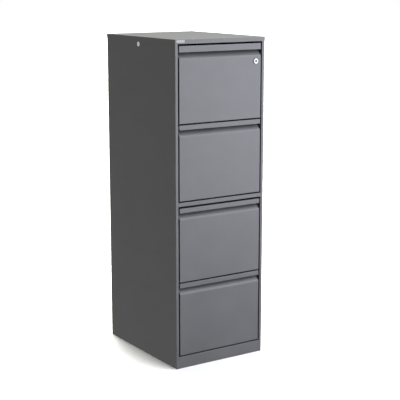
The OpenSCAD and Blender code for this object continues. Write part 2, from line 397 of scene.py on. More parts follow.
class Coat(Enum):
    """The cabinet's finishes, each with the record's slot that it belongs to."""

    GRAPHITE = (PowderCoat("graphite_powder_coat"), "graphite_paint")
    ZINC = (Plate("bright_zinc"), "zinc_steel")
    SLIDE = (
        Plate("drawn_slide_steel", dark=(0.5, 0.51, 0.52), light=(0.7, 0.71, 0.72), roughness=0.28),
        "slide_steel",
    )
    BALL = (
        Plate(
            "hardened_ball_steel", dark=(0.66, 0.67, 0.68), light=(0.8, 0.81, 0.82),
            roughness=0.12, along=(90.0, 90.0, 90.0), blotch=60.0, depth=0.00001,
        ),
        "slide_steel",
    )
    CHROME = (
        Plate(
            "satin_chrome", dark=(0.25, 0.253, 0.256), light=(0.3, 0.303, 0.306),
            roughness=0.3, along=(300.0, 300.0, 300.0), blotch=120.0, depth=0.000008,
        ),
        "chrome",
    )
    NICKEL = (
        Plate(
            "satin_nickel", dark=(0.04, 0.041, 0.043), light=(0.06, 0.061, 0.064),
            roughness=0.5, along=(700.0, 60.0, 90.0), blotch=160.0, depth=0.00002, metallic=0.6,
        ),
        "nickel",
    )
    WHITE = (Moulded("white_moulded_plastic"), "white_plastic")
    LABEL = (
        Plate(
            "satin_label_plate", dark=(0.19, 0.19, 0.19), light=(0.23, 0.23, 0.23),
            roughness=0.55, along=(12.0, 200.0, 600.0), blotch=60.0, depth=0.00001, metallic=0.25,
        ),
        "label_plate",
    )

    @property
    def material(self) -> bpy.types.Material:
        """The finish's material."""
        return self.value[0].material()

    @property
    def slot(self) -> str:
        """The record's slot for the finish."""
        return self.value[1]


# ---- mesh making


def arc(
    centre: Point, radius: float, start: float, end: float, steps: int = 6
) -> list[Point]:
    """Points of an arc.

    Args:
        centre: middle of the arc.
        radius: radius of the arc.
        start: first angle in degrees.
        end: last angle in degrees.
        steps: number of chords.

    Returns:
        steps + 1 points.
    """
    angles = [math.radians(start + (end - start) * i / steps) for i in range(steps + 1)]
    return [
        (centre[0] + radius * math.cos(a), centre[1] + radius * math.sin(a))
        for a in angles
    ]


def rounded(corners: Sequence[Point], radius: float, steps: int = 5) -> list[Point]:
    """Rounds every inner corner of a path.

    Args:
        corners: points of the path.
        radius: radius of the arcs that replace the corners.
        steps: number of chords in an arc.

    Returns:
        The rounded path.
    """
    path = [corners[0]]
    for before, here, after in zip(corners, corners[1:], corners[2:]):
        back = (Vector(before) - Vector(here)).normalized()
        on = (Vector(after) - Vector(here)).normalized()
        half = back.angle(on) / 2
        reach = radius / math.tan(half)
        middle = Vector(here) + (back + on).normalized() * (radius / math.sin(half))
        first = Vector(here) + back * reach - middle
        last = Vector(here) + on * reach - middle
        turn = first.angle_signed(last)
        for i in range(steps + 1):
            spoke = Matrix.Rotation(-turn * i / steps, 2) @ first
            path.append(tuple(middle + spoke))
    path.append(corners[-1])
    return path


def path_sides(path: Sequence[Point], thickness: float) -> list[tuple[Vector, Vector]]:
    """Finds both faces of a sheet that follows a path.

    Args:
        path: middle line of the sheet.
        thickness: thickness of the sheet.

    Returns:
        A pair of points at each point of the path.
    """
    points = [Vector(p) for p in path]
    runs = [(b - a).normalized() for a, b in zip(points, points[1:])]
    pairs = []
    for i, point in enumerate(points):
        before, after = runs[max(i - 1, 0)], runs[min(i, len(runs) - 1)]
        both = before + after
        side = Vector((-both.y, both.x)) / (1 + before.dot(after)) * thickness / 2
        pairs.append((point + side, point - side))
    return pairs


class Run(Enum):
    """The axis that a folded sheet is extruded along, with how its outline stands."""

    X = "x"
    Y = "y"
    Z = "z"

    def place(self, u: float, v: float, w: float) -> Vector:
        """The point at (u, v) of the outline and w along the run."""
        return Vector({Run.X: (w, u, v), Run.Y: (u, w, v), Run.Z: (u, v, w)}[self])


@dataclass
class Blank:
    """A mesh in the making, from which one finished piece is cut."""

    mesh: bmesh.types.BMesh = field(default_factory=bmesh.new)

    def __post_init__(self) -> None:
        """Adds the layer that marks faces which get rubbed wear and a painted highlight."""
        self.edge_layer = self.mesh.faces.layers.float.new(EDGE_LAYER)

    def quad(self, corners: Iterable[bmesh.types.BMVert], wear_and_highlight: float = 0.0) -> None:
        """Adds one face, with as much rubbed wear and painted highlight as the given value says."""
        made = self.mesh.faces.new(corners)
        made[self.edge_layer] = wear_and_highlight

    def folded(
        self,
        path: Sequence[Point],
        run: Run,
        low: float,
        high: float,
        thickness: float = SHEET,
    ) -> None:
        """Adds a bent sheet.

        Args:
            path: middle line of the sheet, across the run.
            run: axis that the sheet is drawn out along.
            low: start of the run.
            high: end of the run.
            thickness: thickness of the sheet.
        """
        rings = [
            [self.mesh.verts.new(run.place(p.x, p.y, w)) for w in (low, high) for p in pair]
            for pair in path_sides(path, thickness)
        ]
        for a, b in zip(rings, rings[1:]):
            # Faces in tight bends, and the sheet's cut edges below, get the painted highlight along
            # with the wear
            wear_and_highlight = float((a[0].co - b[0].co).length < TIGHT_BEND)
            self.quad((a[0], a[2], b[2], b[0]), wear_and_highlight)
            self.quad((b[1], b[3], a[3], a[1]), wear_and_highlight)
            self.quad((a[0], b[0], b[1], a[1]), 1.0)
            self.quad((a[3], b[3], b[2], a[2]), 1.0)
        first, last = rings[0], rings[-1]
        self.quad((first[1], first[3], first[2], first[0]), 1.0)
        self.quad((last[0], last[2], last[3], last[1]), 1.0)

    def box(self, low: Sequence[float], high: Sequence[float], radius: float = 0.0003) -> None:
        """Adds a block with softened edges.

        Args:
            low: its lowest corner.
            high: its highest corner.
            radius: radius of its edges.
        """
        centre = (Vector(low) + Vector(high)) / 2
        size = Vector(high) - Vector(low)
        made = bmesh.ops.create_cube(
            self.mesh, matrix=Matrix.Translation(centre) @ Matrix.Diagonal((*size, 1))
        )
        edges = {e for v in made["verts"] for e in v.link_edges}
        bent = bmesh.ops.bevel(
            self.mesh, geom=list(edges), offset=radius, segments=3, profile=0.5,
            affect="EDGES", clamp_overlap=True,
        )
        # The rounded edges get the painted highlight along with the wear
        for face in bent["faces"]:
            face[self.edge_layer] = 1.0

    def lathe(
        self, profile: Sequence[Point], centre: Sequence[float], axis: Triple, segments: int = 64
    ) -> None:
        """Adds a turned solid.

        Args:
            profile: closed outline of (radius, height) points; points at radius 0 lie on the axis.
            centre: where height 0 of the axis lies.
            axis: direction of growing height.
            segments: sides of the turned shape.
        """
        stand = Vector(axis).to_track_quat("Z", "X").to_matrix()
        turns = [math.tau * k / segments for k in range(segments)]
        rings = []
        for radius, height in profile:
            spots = [(radius * math.cos(t), radius * math.sin(t), height) for t in turns]
            if radius == 0:
                spots = spots[:1]
            ring = [self.mesh.verts.new(Vector(centre) + stand @ Vector(spot)) for spot in spots]
            rings.append(ring * (segments // len(ring)))
        for ring, following in zip(rings, rings[1:] + rings[:1]):
            for k in range(segments):
                n = (k + 1) % segments
                corners = [ring[k], ring[n], following[n], following[k]]
                distinct = list(dict.fromkeys(corners))
                if len(distinct) > 2:
                    self.quad(distinct)

    def mirrored(self) -> None:
        """Adds the mirror image of everything so far, on the other side of x = 0."""
        made = bmesh.ops.duplicate(self.mesh, geom=self.mesh.faces[:])
        verts = [g for g in made["geom"] if isinstance(g, bmesh.types.BMVert)]
        faces = [g for g in made["geom"] if isinstance(g, bmesh.types.BMFace)]
        bmesh.ops.scale(self.mesh, vec=(-1, 1, 1), verts=verts)
        bmesh.ops.reverse_faces(self.mesh, faces=faces)

    def piece(self, name: str, coat: Coat, cutter: "Blank | None" = None) -> bpy.types.Object:
        """Turns the blank into an object.

        Args:
            name: name of the piece.
            coat: finish of the whole piece.
            cutter: solid to cut away.

        Returns:
            The object, whose mesh holds its place.
        """
        bmesh.ops.recalc_face_normals(self.mesh, faces=self.mesh.faces[:])
        made = plain_object(name, self.mesh)
        made.data.materials.append(coat.material)
        if cutter:
            knife = plain_object(name + "_knife", cutter.mesh)
            cut = made.modifiers.new("cut", "BOOLEAN")
            cut.object = knife
            cut.solver = "EXACT"
            settle(made)
            bpy.data.objects.remove(knife)
        made.data.shade_smooth()
        made.data.set_sharp_from_angle(angle=SHARP_ANGLE)
        weighted = made.modifiers.new("even_normals", "WEIGHTED_NORMAL")
        weighted.keep_sharp = True
        settle(made)
        return made


def linked(name: str, data: bpy.types.ID) -> bpy.types.Object:
    """Adds an object to the scene.

    Args:
        name: its name.
        data: its mesh, lamp or camera.

    Returns:
        The object.
    """
    made = bpy.data.objects.new(name, data)
    bpy.context.scene.collection.objects.link(made)
    return made


def plain_object(name: str, mesh: bmesh.types.BMesh) -> bpy.types.Object:
    """Adds an object that takes over a mesh in the making.

    Args:
        name: its name.
        mesh: the mesh, which is freed.

    Returns:
        The object.
    """
    data = bpy.data.meshes.new(name)
    mesh.to_mesh(data)
    mesh.free()
    return linked(name, data)


def settle(item: bpy.types.Object) -> None:
    """Makes the result of an object's modifiers its plain mesh.

    Args:
        item: the object.
    """
    graph = bpy.context.evaluated_depsgraph_get()
    data = bpy.data.meshes.new_from_object(
        item.evaluated_get(graph), preserve_all_data_layers=True, depsgraph=graph
    )
    old = item.data
    item.modifiers.clear()
    item.data = data
    name = old.name
    bpy.data.meshes.remove(old)
    data.name = name


def mount(item: bpy.types.Object, body: str, coat: Coat, *nodes: str) -> None:
    """Fixes a piece to a body and hides the CAD nodes that it replaces.

    Args:
        item: the piece.
        body: body that it rides on.
        coat: finish whose slot it has; not used.
        nodes: CAD nodes that it replaces.
    """
    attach(item, body)
    coat.slot
    if nodes:
        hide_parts(*nodes)
    LOG.info("%s rides on %s: %d faces", item.name, body, len(item.data.polygons))


def dress(coat: Coat, *nodes: str) -> None:
    """Gives CAD nodes that keep their shape a finish.

    Args:
        coat: the finish.
        nodes: their names.
    """
    for name in nodes:
        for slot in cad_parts[name].material_slots:
            slot.material = coat.material
        LOG.info("%s keeps its shape, in %s", name, coat.name.lower())


# ---- repeated small parts, by geometry nodes


@dataclass(frozen=True)
class Repeater:
    """A geometry tree that puts a small part at every point of a piece's mesh."""

    name: str

    def inputs(self) -> dict[str, int | float]:
        """The tree's own inputs and their values."""
        raise NotImplementedError

    def shape(self, net: Net, given: Mapping[str, Link]) -> Link:
        """Wires the repeated shape.

        Args:
            net: the geometry tree.
            given: the tree's inputs, with the points as Geometry.

        Returns:
            Its copies on the points.
        """
        raise NotImplementedError

    def tree(self, coat: Coat) -> bpy.types.NodeTree:
        """Builds the tree with its named inputs.

        Args:
            coat: finish of the parts.

        Returns:
            The tree, which ends in Realize Instances and Set Material.
        """
        tree = bpy.data.node_groups.new(self.name, "GeometryNodeTree")
        for way in ("INPUT", "OUTPUT"):
            tree.interface.new_socket("Geometry", in_out=way, socket_type="NodeSocketGeometry")
        for name, value in self.inputs().items():
            kind = "NodeSocketInt" if isinstance(value, int) else "NodeSocketFloat"
            made = tree.interface.new_socket(name, in_out="INPUT", socket_type=kind)
            made.default_value = value
        net = Net(tree)
        entry = net.node("NodeGroupInput")
        given = {s.name: Link(net, s) for s in entry.outputs if s.name}
        real = net.out("GeometryNodeRealizeInstances", {"Geometry": self.shape(net, given)})
        smooth = net.out("GeometryNodeSetShadeSmooth", {"Geometry": real})
        finish = {"Geometry": smooth, "Material": coat.material}
        net.node("NodeGroupOutput", None, {"Geometry": net.out("GeometryNodeSetMaterial", finish)})
        return tree

    def at(
        self, name: str, points: Iterable[Triple], coat: Coat, **values: object
    ) -> bpy.types.Object:
        """Makes one plain mesh with the part at every point.

        Args:
            name: name of the piece.
            points: where the parts go.
            coat: finish of the parts.
            values: values for the tree's named inputs.

        Returns:
            The finished object.
        """
        data = bpy.data.meshes.new(name)
        data.from_pydata(list(points), [], [])
        made = linked(name, data)
        tree = bpy.data.node_groups.get(self.name) or self.tree(coat)
        grow = made.modifiers.new(self.name, "NODES")
        grow.node_group = tree
        for socket in tree.interface.items_tree:
            if socket.in_out == "INPUT" and socket.name in values:
                grow[socket.identifier] = values[socket.name]
        settle(made)
        return made


@dataclass(frozen=True)
class BallRows(Repeater):
    """Rows of balls along Y, one row from each point."""

    def inputs(self) -> dict[str, int | float]:
        """The number of balls in a row, their pitch and their radius."""
        return {"Count": 18, "Pitch": 0.0105, "Radius": 0.0022}

    def shape(self, net: Net, given: Mapping[str, Link]) -> Link:
        """Wires a line of balls.

        Args:
            net: the geometry tree.
            given: the tree's inputs.

        Returns:
            A ball on every point of every line.
        """
        spacing = {"Count": given["Count"], "Offset": net.xyz(Y=given["Pitch"])}
        rows = net.copies(given["Geometry"], net.out("GeometryNodeMeshLine", spacing))
        centres = net.out("GeometryNodeRealizeInstances", {"Geometry": rows})
        return net.copies(centres, net.sphere(12, 7, given["Radius"]))


@dataclass(frozen=True)
class PanHeads(Repeater):
    """Domed screw heads with a cross recess, turned to face along Y."""

    def inputs(self) -> dict[str, int | float]:
        """Radius and height of a head, and its turn about X."""
        return {"Radius": 0.004, "Height": 0.0022, "Turn": math.radians(-90)}

    def shape(self, net: Net, given: Mapping[str, Link]) -> Link:
        """Wires a flattened dome less a cross.

        Args:
            net: the geometry tree.
            given: the tree's inputs.

        Returns:
            A head on every point.
        """
        radius, height = given["Radius"], given["Height"]
        dome = net.moved(net.sphere(28, 14), Scale=net.xyz(X=radius, Y=radius, Z=height))
        cut = net.node("GeometryNodeMeshBoolean", {"operation": "DIFFERENCE", "solver": "EXACT"})
        net.tree.links.new(dome.socket, cut.inputs[0])
        for across in ("X", "Y"):
            size = {"X": radius * 0.26, "Y": radius * 0.26, "Z": height * 1.1}
            size[across] = radius * 1.05
            bar = net.out("GeometryNodeMeshCube", {"Size": net.xyz(**size)})
            bar = net.moved(bar, Translation=net.xyz(Z=height * 0.95))
            net.tree.links.new(bar.socket, cut.inputs[1])
        head = net.moved(Link(net, cut.outputs[0]), Rotation=net.xyz(X=given["Turn"]))
        return net.copies(given["Geometry"], head)


@dataclass(frozen=True)
class PressedBeads(Repeater):
    """Half-round stiffening beads along Y, one from each point."""

    def inputs(self) -> dict[str, int | float]:
        """Length, width and height of a bead."""
        return {"Length": 0.36, "Width": 0.014, "Height": 0.0024}

    def shape(self, net: Net, given: Mapping[str, Link]) -> Link:
        """Wires a bead: a ball that is flattened, then parted in the middle to its length.

        Args:
            net: the geometry tree.
            given: the tree's inputs.

        Returns:
            A bead on every point.
        """
        rod = net.sphere(24, 16)
        half_gap = given["Length"] * 0.5 - given["Width"] * 0.5
        place = net.out("GeometryNodeInputPosition")
        x, y, z = (
            Link(net, part)
            for part in net.node("ShaderNodeSeparateXYZ", None, {"Vector": place}).outputs
        )
        width = given["Width"]
        along = y * width * 0.5 + net.maths("SIGN", y) * half_gap
        sized = net.xyz(X=x * width * 0.5, Y=along, Z=z * given["Height"])
        bead = net.out("GeometryNodeSetPosition", {"Geometry": rod, "Position": sized})
        return net.copies(given["Geometry"], bead)


# ---- the cabinet's sub-assemblies


@dataclass
class Shell:
    """The fixed sheet-metal body, with the plate, plugs and screws on it."""

    body: str = "cabinet"
    coat: Coat = Coat.GRAPHITE
    stile_return: float = 0.014
    stile_width: float = 0.0125
    rear_fold: float = 0.012
    cap_radius: float = 0.0022
    swage_inset: float = 0.045
    swage_depth: float = 0.004
    swage_slope: float = 2.5
    swage_corner: float = 0.6
    swage_steps: int = 6
    plate_rim: float = 0.0009
    plug_edge: float = 0.0003
    plug_shank: float = 0.005
    plug_reach: float = 0.004
    screw_head: float = 0.004
    screw_proud: float = 0.001
    screw_rows: int = 5

    def build(self) -> None:
        """Builds every piece of the shell."""
        self.cap()
        for side, name in zip(SIDES, ("left_side_panel", "right_side_panel")):
            self.side(side, name)
        self.back()
        self.rail("plinth")
        self.rail("mid_rail")
        self.plate()
        self.plugs()
        dress(self.coat, "bottom_panel")
        dress(Coat.ZINC, "front_posts", "rear_posts", "lock_bar_guides")
        self.screws()

    def cap(self) -> None:
        """The pan that closes the top, with its skirt and rolled corners."""
        low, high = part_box("top_cap")
        blank = Blank()
        size = Matrix.Diagonal((*(high - low), 1))
        bmesh.ops.create_cube(blank.mesh, matrix=Matrix.Translation((low + high) / 2) @ size)
        floor = [f for f in blank.mesh.faces if f.normal.z < -0.5]
        bmesh.ops.delete(blank.mesh, geom=floor, context="FACES_ONLY")
        bends = [e for e in blank.mesh.edges if len(e.link_faces) == 2]
        bent = bmesh.ops.bevel(
            blank.mesh, geom=bends, offset=self.cap_radius, segments=5, profile=0.5, affect="EDGES"
        )
        # The rolled corners get the painted highlight along with the wear
        for face in bent["faces"]:
            face[blank.edge_layer] = 1.0
        bmesh.ops.recalc_face_normals(blank.mesh, faces=blank.mesh.faces[:])
        bmesh.ops.solidify(blank.mesh, geom=blank.mesh.faces[:], thickness=SHEET)
        mount(blank.piece("cap_shell", self.coat), self.body, self.coat, "top_cap")

    def side(self, side: int, node: str) -> None:
        """One side panel with its folded edges.

        Args:
            side: -1 for the left, 1 for the right.
            node: the CAD node that it replaces.
        """
        low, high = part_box(node)
        outer = max(abs(low.x), abs(high.x)) - SHEET / 2
        front, rear = low.y + SHEET / 2, high.y - SHEET / 2
        inner = outer - self.stile_width + SHEET
        corners = [
            (inner, low.y + self.stile_return),
            (inner, front),
            (outer, front),
            (outer, rear),
            (outer - self.rear_fold, rear),
        ]
        blank = Blank()
        blank.folded(rounded(corners, FOLD), Run.Z, low.z, high.z)
        for z in (low.z, high.z - SHEET):
            blank.box((inner, low.y + BEND, z), (outer - SHEET / 2, rear - BEND, z + SHEET))
        if side < 0:
            bmesh.ops.scale(blank.mesh, vec=(-1, 1, 1), verts=blank.mesh.verts[:])
        mount(blank.piece(node + "_sheet", self.coat), self.body, self.coat, node)

    def back(self) -> None:
        """The back sheet with a shallow pressed field."""
        low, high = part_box("back_panel")
        levels = [(0.0, 0.0), (self.swage_inset, 0.0)]
        for i in range(1, self.swage_steps + 1):
            part = i / self.swage_steps
            depth = self.swage_depth * (1 - math.cos(math.pi * part)) / 2
            levels.append((self.swage_inset + self.swage_slope * self.swage_depth * part, depth))
        blank = Blank()
        rings = []
        for inset, depth in levels:
            corner = 0.0002 + inset * self.swage_corner
            left, right = low.x + inset + corner, high.x - inset - corner
            bottom, top = low.z + inset + corner, high.z - inset - corner
            corners = ((right, top), (left, top), (left, bottom), (right, bottom))
            outline = []
            for k, middle in enumerate(corners):
                outline += arc(middle, corner, 90 * k, 90 * k + 90, 8)
            rings.append([blank.mesh.verts.new((x, high.y - depth, z)) for x, z in outline])
        for ring, following in zip(rings, rings[1:]):
            for k, vert in enumerate(ring):
                n = (k + 1) % len(ring)
                blank.quad((vert, ring[n], following[n], following[k]))
        blank.quad(rings[-1])
        blank.mesh.normal_update()
        if sum(f.normal.y for f in blank.mesh.faces if f.calc_area() > 0.01) < 0:
            bmesh.ops.reverse_faces(blank.mesh, faces=blank.mesh.faces[:])
        bmesh.ops.solidify(blank.mesh, geom=blank.mesh.faces[:], thickness=SHEET)
        mount(blank.piece("back_sheet", self.coat), self.body, self.coat, "back_panel")

    def rail(self, node: str) -> None:
        """A front rail folded into a channel that is open at the back.

        Args:
            node: the CAD node that it replaces.
        """
        low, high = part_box(node)
        bottom, top = low.z + SHEET / 2, high.z - SHEET / 2
        face = low.y + SHEET / 2
        corners = [(high.y, bottom), (face, bottom), (face, top), (high.y, top)]
        blank = Blank()
        blank.folded(rounded(corners, FOLD), Run.X, low.x, high.x)
        mount(blank.piece(node + "_channel", self.coat), self.body, self.coat, node)

    def plate(self) -> None:
        """The blank plate on the cap's front edge, with a raised rim."""
        low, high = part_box("nameplate")
        rim = self.plate_rim
        blank = Blank()
        blank.box((low.x, low.y + 0.0002, low.z), high, 0.00012)
        for z in (low.z, high.z - rim):
            blank.box((low.x, low.y, z), (high.x, high.y, z + rim), 0.00008)
        for x in (low.x, high.x - rim):
            blank.box((x, low.y, low.z), (x + rim, high.y, high.z), 0.00008)
        mount(blank.piece("blank_plate", Coat.LABEL), self.body, Coat.LABEL, "nameplate")

    def plugs(self) -> None:
        """A domed plug on each side panel, with its shank through the sheet."""
        low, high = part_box("side_plugs")
        centre_y, centre_z = (low.y + high.y) / 2, (low.z + high.z) / 2
        radius = (high.z - low.z) / 2
        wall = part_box("right_side_panel")[1].x
        crown, edge, shank = high.x - wall, self.plug_edge, self.plug_shank
        dome = [
            (radius * math.cos(a), edge + (crown - edge) * math.sin(a))
            for a in (math.radians(12 + 78 * i / 9) for i in range(9))
        ]
        reach, taper = self.plug_reach, 0.04
        profile = [(0, -reach), (shank * (1 - taper), -reach), (shank, -reach * 0.9), (shank, 0.0)]
        profile += [(radius, 0.0), (radius, edge), *dome, (0, crown)]
        blank = Blank()
        blank.lathe(profile, (wall, centre_y, centre_z), (1, 0, 0))
        blank.mirrored()
        mount(blank.piece("domed_plugs", Coat.WHITE), self.body, Coat.WHITE, "side_plugs")

    def screws(self) -> None:
        """The screws down both edges of the back."""
        low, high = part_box("carcass_screws")
        head, proud = self.screw_head, self.screw_proud
        step = (high.z - low.z - 2 * head) / (self.screw_rows - 1)
        heads = [
            (x, high.y - proud, low.z + head + k * step)
            for k in range(self.screw_rows)
            for x in (low.x + head, high.x - head)
        ]
        made = PanHeads("pan_heads").at(
            "back_screws", heads, Coat.ZINC, Radius=head, Height=proud
        )
        mount(made, self.body, Coat.ZINC, "carcass_screws")


@dataclass
class Drawer:
    """One drawer: its folded front, tray, file rails, catch and screws."""

    number: int
    strip: float
    recess: float = 0.028
    recess_rise: float = 0.004
    recess_bend: float = 0.012
    return_depth: float = 0.018
    front_lip: float = 0.035
    hem: float = 0.008
    side_height_below: float = 0.064
    side_flange: Point = (0.004, 0.006)
    wall_flange: float = 0.006
    tray_top_below: float = 0.006
    bead_spacing: float = 0.11
    file_lip: float = 0.1655
    lock_hole: float = 0.0096
    screw_head: float = 0.004
    screw_proud: float = 0.0022
    screw_x: float = 0.12
    catch_x: float = 0.175
    catch_screw_inset: float = 0.006
    coat: Coat = Coat.GRAPHITE

    def __post_init__(self) -> None:
        """Names the body that everything here rides on."""
        self.body = f"drawer_{self.number}"

    def node(self, part: str) -> str:
        """The name of one of the drawer's CAD nodes."""
        return f"{self.body}_{part}"

    def build(self) -> None:
        """Builds every piece of the drawer."""
        self.front()
        self.tray()
        self.file_rails()
        dress(Coat.ZINC, self.node("catch"))
        self.screws()

    def section(self) -> list[Point]:
        """Draws the front's sheet from its hem, by strip, recess and face, to its lowest lip.

        Returns:
            The sheet's middle line, as points of depth and height.
        """
        low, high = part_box(self.node("front"))
        half = SHEET / 2
        face, wall = low.y + half, low.y + self.recess + half
        top, bottom, strip_end = high.z, low.z, high.z - self.strip
        bend = self.recess_bend - half
        wall_end = strip_end + self.recess_rise
        bend_z = wall_end - self.recess - bend * (math.sqrt(2) - 1)
        near, far = face + FOLD, wall - FOLD
        path = [(face + 2 * FOLD, strip_end + self.hem)]
        path += arc((near, strip_end + BEND), FOLD, 0, -180, 10)
        path += arc((near, top - BEND), FOLD, 180, 90, 6)
        path += arc((far, top - BEND), FOLD, 90, 0, 4)
        path += [(wall, wall_end)]
        path += arc((face + bend, bend_z), bend, 135, 180, 12)
        path += arc((near, bottom + BEND), FOLD, 180, 270, 6)
        path += arc((far, bottom + BEND), FOLD, 270, 360, 4)
        path += [(wall, bottom + self.front_lip)]
        return path

    def front(self) -> None:
        """The folded front with its side returns, and the hole for the lock in drawer 1."""
        low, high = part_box(self.node("front"))
        blank = Blank()
        blank.folded(self.section(), Run.X, low.x, high.x)
        top = high.z - self.strip - self.recess - self.recess_bend + self.recess_rise
        for side in SIDES:
            outer = side * high.x
            inner = side * (high.x - SHEET)
            blank.box(
                (min(outer, inner), low.y + SHEET * 0.6, low.z + SHEET * 0.6),
                (max(outer, inner), low.y + self.return_depth, top),
                0.0002,
            )
        cutter = None
        if self.number == 1:
            barrel_low, barrel_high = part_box("lock_housing")
            centre = (barrel_low + barrel_high) / 2
            hole, reach = self.lock_hole, 0.02
            cutter = Blank()
            cutter.lathe(
                [(0, -reach), (hole, -reach), (hole, reach), (0, reach)],
                (centre.x, low.y, centre.z),
                TOWARDS_FRONT,
            )
            bmesh.ops.recalc_face_normals(cutter.mesh, faces=cutter.mesh.faces[:])
        made = blank.piece(self.node("folded_front"), self.coat, cutter)
        mount(made, self.body, self.coat, self.node("front"))

    def tray(self) -> None:
        """The open tray: sides and floor in one sheet, front wall, back wall and floor beads."""
        low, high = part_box(self.node("tray"))
        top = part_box(self.node("front"))[1].z
        half = SHEET / 2
        side, floor_z = high.x - half, low.z + half
        side_top = top - self.side_height_below - half
        inward, down = self.side_flange
        right = [
            (side - inward, side_top - down), (side - inward, side_top),
            (side, side_top), (side, floor_z),
        ]
        corners = right + [(-x, z) for x, z in reversed(right)]
        blank = Blank()
        blank.folded(rounded(corners, FOLD), Run.Y, low.y + SHEET, high.y - SHEET)
        front_top = top - self.tray_top_below - half
        for way, y, wall_top in ((1, low.y + half, front_top), (-1, high.y - half, side_top)):
            wall = [(y + way * self.wall_flange, wall_top), (y, wall_top), (y, low.z + BEND)]
            blank.folded(rounded(wall, FOLD), Run.X, low.x, high.x)
        made = blank.piece(self.node("tray_sheet"), self.coat)
        mount(made, self.body, self.coat, self.node("tray"))
        middle = (low.y + high.y) / 2
        beads = [(way * self.bead_spacing, middle, low.z + SHEET) for way in (-1, 0, 1)]
        ribs = PressedBeads("pressed_beads").at(self.node("floor_beads"), beads, self.coat)
        mount(ribs, self.body, self.coat)

    def file_rails(self) -> None:
        """The stepped strips that hanging files rest on."""
        low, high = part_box(self.node("file_rails"))
        half = SHEET / 2
        outer, lip = high.x - half, self.file_lip
        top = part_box(self.node("front"))[1].z
        shelf = top - self.side_height_below + half
        corners = [(outer, low.z), (outer, shelf), (lip, shelf), (lip, high.z)]
        blank = Blank()
        blank.folded(rounded(corners, FOLD), Run.Y, low.y, high.y)
        blank.mirrored()
        made = blank.piece(self.node("file_strips"), Coat.ZINC)
        mount(made, self.body, Coat.ZINC, self.node("file_rails"))

    def screws(self) -> None:
        """The screws through the tray's front wall."""
        low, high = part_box(self.node("screws"))
        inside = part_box(self.node("tray"))[0].y + SHEET
        catch_low, catch_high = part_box(self.node("catch"))
        head, inset = self.screw_head, self.catch_screw_inset
        heads = [
            (x, inside, z)
            for x in (-self.screw_x, self.screw_x)
            for z in (low.z + head, high.z - head)
        ]
        heads += [(self.catch_x, inside, z) for z in (catch_low.z + inset, catch_high.z - inset)]
        made = PanHeads("pan_heads").at(
            self.node("pan_heads"), heads, Coat.ZINC, Radius=head, Height=self.screw_proud
        )
        mount(made, self.body, Coat.ZINC, self.node("screws"))


@dataclass
class Slides:
    """One drawer's pair of telescopic slides with their ball cages."""

    number: int
    plate: float = 0.0012
    cage: float = 0.0006
    ball: float = 0.0022
    balls: int = 18
    pitch: float = 0.0105
    rail_fold: float = 0.0011
    cage_fold: float = 0.0006

    def build(self) -> None:
        """Builds the three nested channels and both cages."""
        self.channel("outer_rails", "cabinet", 0.188, opens_in=True)
        self.channel("middle_rails", f"middle_slides_{self.number}", 0.1874, opens_in=True)
        self.channel("inner_rails", f"drawer_{self.number}", 0.1852, opens_in=False)
        self.cages("outer", 0.1912)
        self.cages("inner", 0.1894)

    def channel(self, part: str, body: str, near: float, opens_in: bool) -> None:
        """A rail on each side, with rolled edges.

        Args:
            part: the CAD node's last words.
            body: the body that it rides on.
            near: distance of its nearest face from the middle of the cabinet.
            opens_in: whether the channel opens towards the drawer.
        """
        node = f"drawer_{self.number}_{part}"
        low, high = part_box(node)
        half = self.plate / 2
        web, lip = (high.x - half, near) if opens_in else (near + half, high.x)
        bottom, top = low.z + half, high.z - half
        corners = [(lip, bottom), (web, bottom), (web, top), (lip, top)]
        blank = Blank()
        blank.folded(rounded(corners, self.rail_fold), Run.Y, low.y, high.y, self.plate)
        blank.mirrored()
        mount(blank.piece(node + "_drawn", Coat.SLIDE), body, Coat.SLIDE, node)

    def cages(self, which: str, ball_x: float) -> None:
        """A strip with rows of balls on each side.

        Args:
            which: outer or inner.
            ball_x: distance of the balls from the middle of the cabinet.
        """
        node = f"drawer_{self.number}_{which}_ball_cages"
        body = f"{which}_cages_{self.number}"
        low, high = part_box(node)
        centre = (low.z + high.z) / 2
        row_z = (high.z - low.z) / 2 - self.ball
        half = self.cage / 2
        web = high.x - half
        near = ball_x - self.ball - 0.0002
        corners = [
            (near, centre - row_z), (web, centre - row_z),
            (web, centre + row_z), (near, centre + row_z),
        ]
        blank = Blank()
        blank.folded(rounded(corners, self.cage_fold, 3), Run.Y, low.y, high.y, self.cage)
        blank.mirrored()
        mount(blank.piece(node + "_strip", Coat.SLIDE), body, Coat.SLIDE, node)
        first = (low.y + high.y) / 2 - (self.balls - 1) * self.pitch / 2
        starts = [
            (side * ball_x, first, centre + way * row_z) for side in SIDES for way in SIDES
        ]
        rows = BallRows("ball_rows").at(
            node + "_balls", starts, Coat.BALL,
            Count=self.balls, Pitch=self.pitch, Radius=self.ball,
        )
        mount(rows, body, Coat.BALL)


